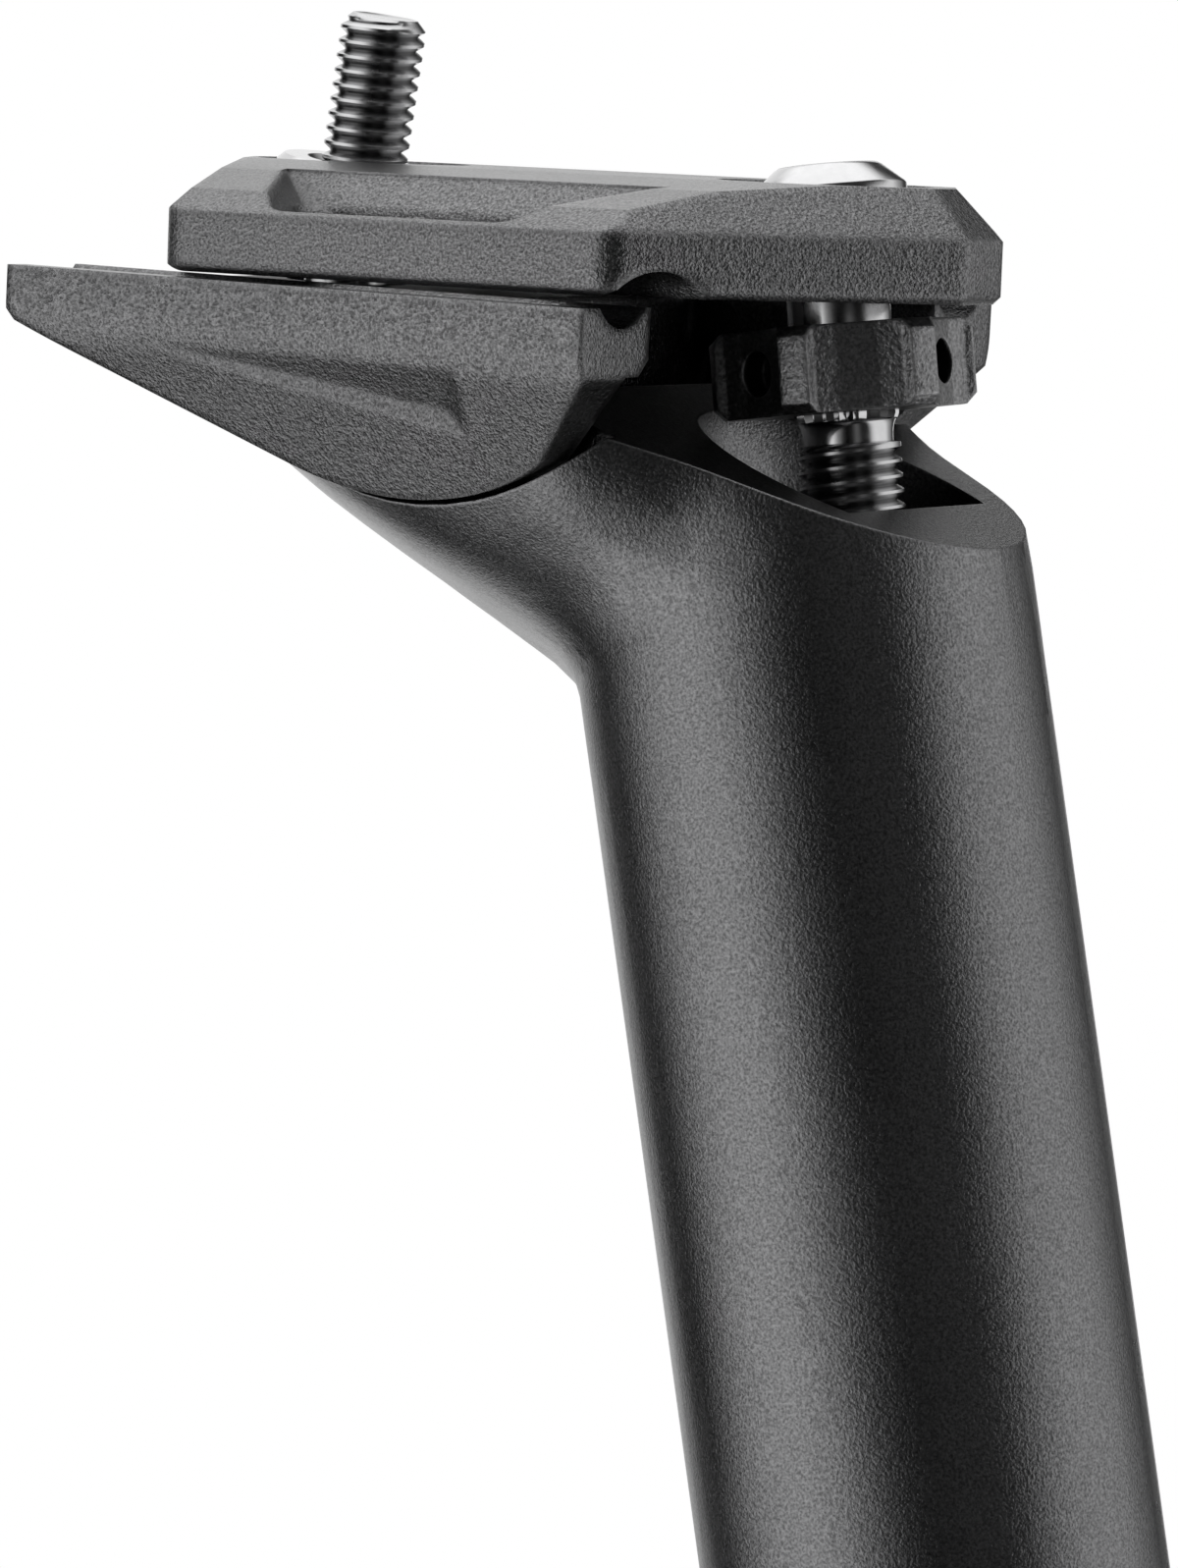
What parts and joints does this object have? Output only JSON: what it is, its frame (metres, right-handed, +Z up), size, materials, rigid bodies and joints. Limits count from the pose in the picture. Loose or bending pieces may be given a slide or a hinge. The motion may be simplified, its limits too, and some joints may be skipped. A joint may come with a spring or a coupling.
{
  "type": "bicycle seatpost",
  "caption": "Bicycle seatpost with a round tube, a set-back head and a tilting saddle-rail clamp, held by a thumbwheel screw in front and a bolt at the rear.",
  "frame": {"origin": "centre of the tube's open lower end, on the tube axis", "axes": "+Z up the tube, +X to the front of the bicycle, +Y to its left; the mirror plane is Y = 0"},
  "size_m": [0.0602, 0.053, 0.3712],
  "materials": {
    "post_black": "fine bead-blasted black anodised",
    "clamp_black": "sand-blasted black anodised",
    "wheel_black": "sand-blasted black anodised",
    "bolt_steel": "polished stainless steel"
  },
  "bodies": {
    "post": {"post": "post_black"},
    "cradle": {"lower_cradle": "clamp_black"},
    "upper_jaw": {"upper_clamp": "clamp_black"},
    "washer": {"front_washer": "bolt_steel"},
    "front_screw": {"front_bolt": "bolt_steel", "thumbwheel": "wheel_black"},
    "rear_screw": {"rear_bolt": "bolt_steel"},
    "nut": {"rear_nut": "bolt_steel"}
  },
  "joints": [
    {"name": "clamp_tilt", "type": "hinge", "parent": "post", "child": "cradle", "pos_m": [-0.01173, 0, 0.35771], "axis": [0, 1, 0], "range_deg": [-4.5, 4.5]},
    {"name": "jaw_lift", "type": "slide", "parent": "cradle", "child": "upper_jaw", "axis": [0.0715, 0, 0.9974], "range_m": [0, 0.0036]},
    {"name": "washer_rock", "type": "hinge", "parent": "upper_jaw", "child": "washer", "pos_m": [0.00651, 0, 0.35455], "axis": [0, 1, 0], "range_deg": [-4.9, 4.9]},
    {"name": "thumbwheel_spin", "type": "hinge", "parent": "washer", "child": "front_screw", "pos_m": [0.00651, 0, 0.35455], "axis": [0.0715, 0, 0.9974], "range_deg": [-520, 520]},
    {"name": "rear_bolt_rock", "type": "hinge", "parent": "post", "child": "rear_screw", "pos_m": [-0.03525, 0, 0.34575], "axis": [0, 1, 0], "range_deg": [-1.6, 1.6]},
    {"name": "nut_shift", "type": "slide", "parent": "upper_jaw", "child": "nut", "axis": [0.9426, 0, -0.3338], "range_m": [0, 0.00097]}
  ],
  "couplings": [
    {"joint": "clamp_tilt", "follows": "thumbwheel_spin", "ratio": -0.008641},
    {"joint": "washer_rock", "follows": "thumbwheel_spin", "ratio": 0.009167},
    {"joint": "rear_bolt_rock", "follows": "thumbwheel_spin", "ratio": 0.002835},
    {"joint": "nut_shift", "follows": "jaw_lift", "ratio": 0.26556}
  ]
}
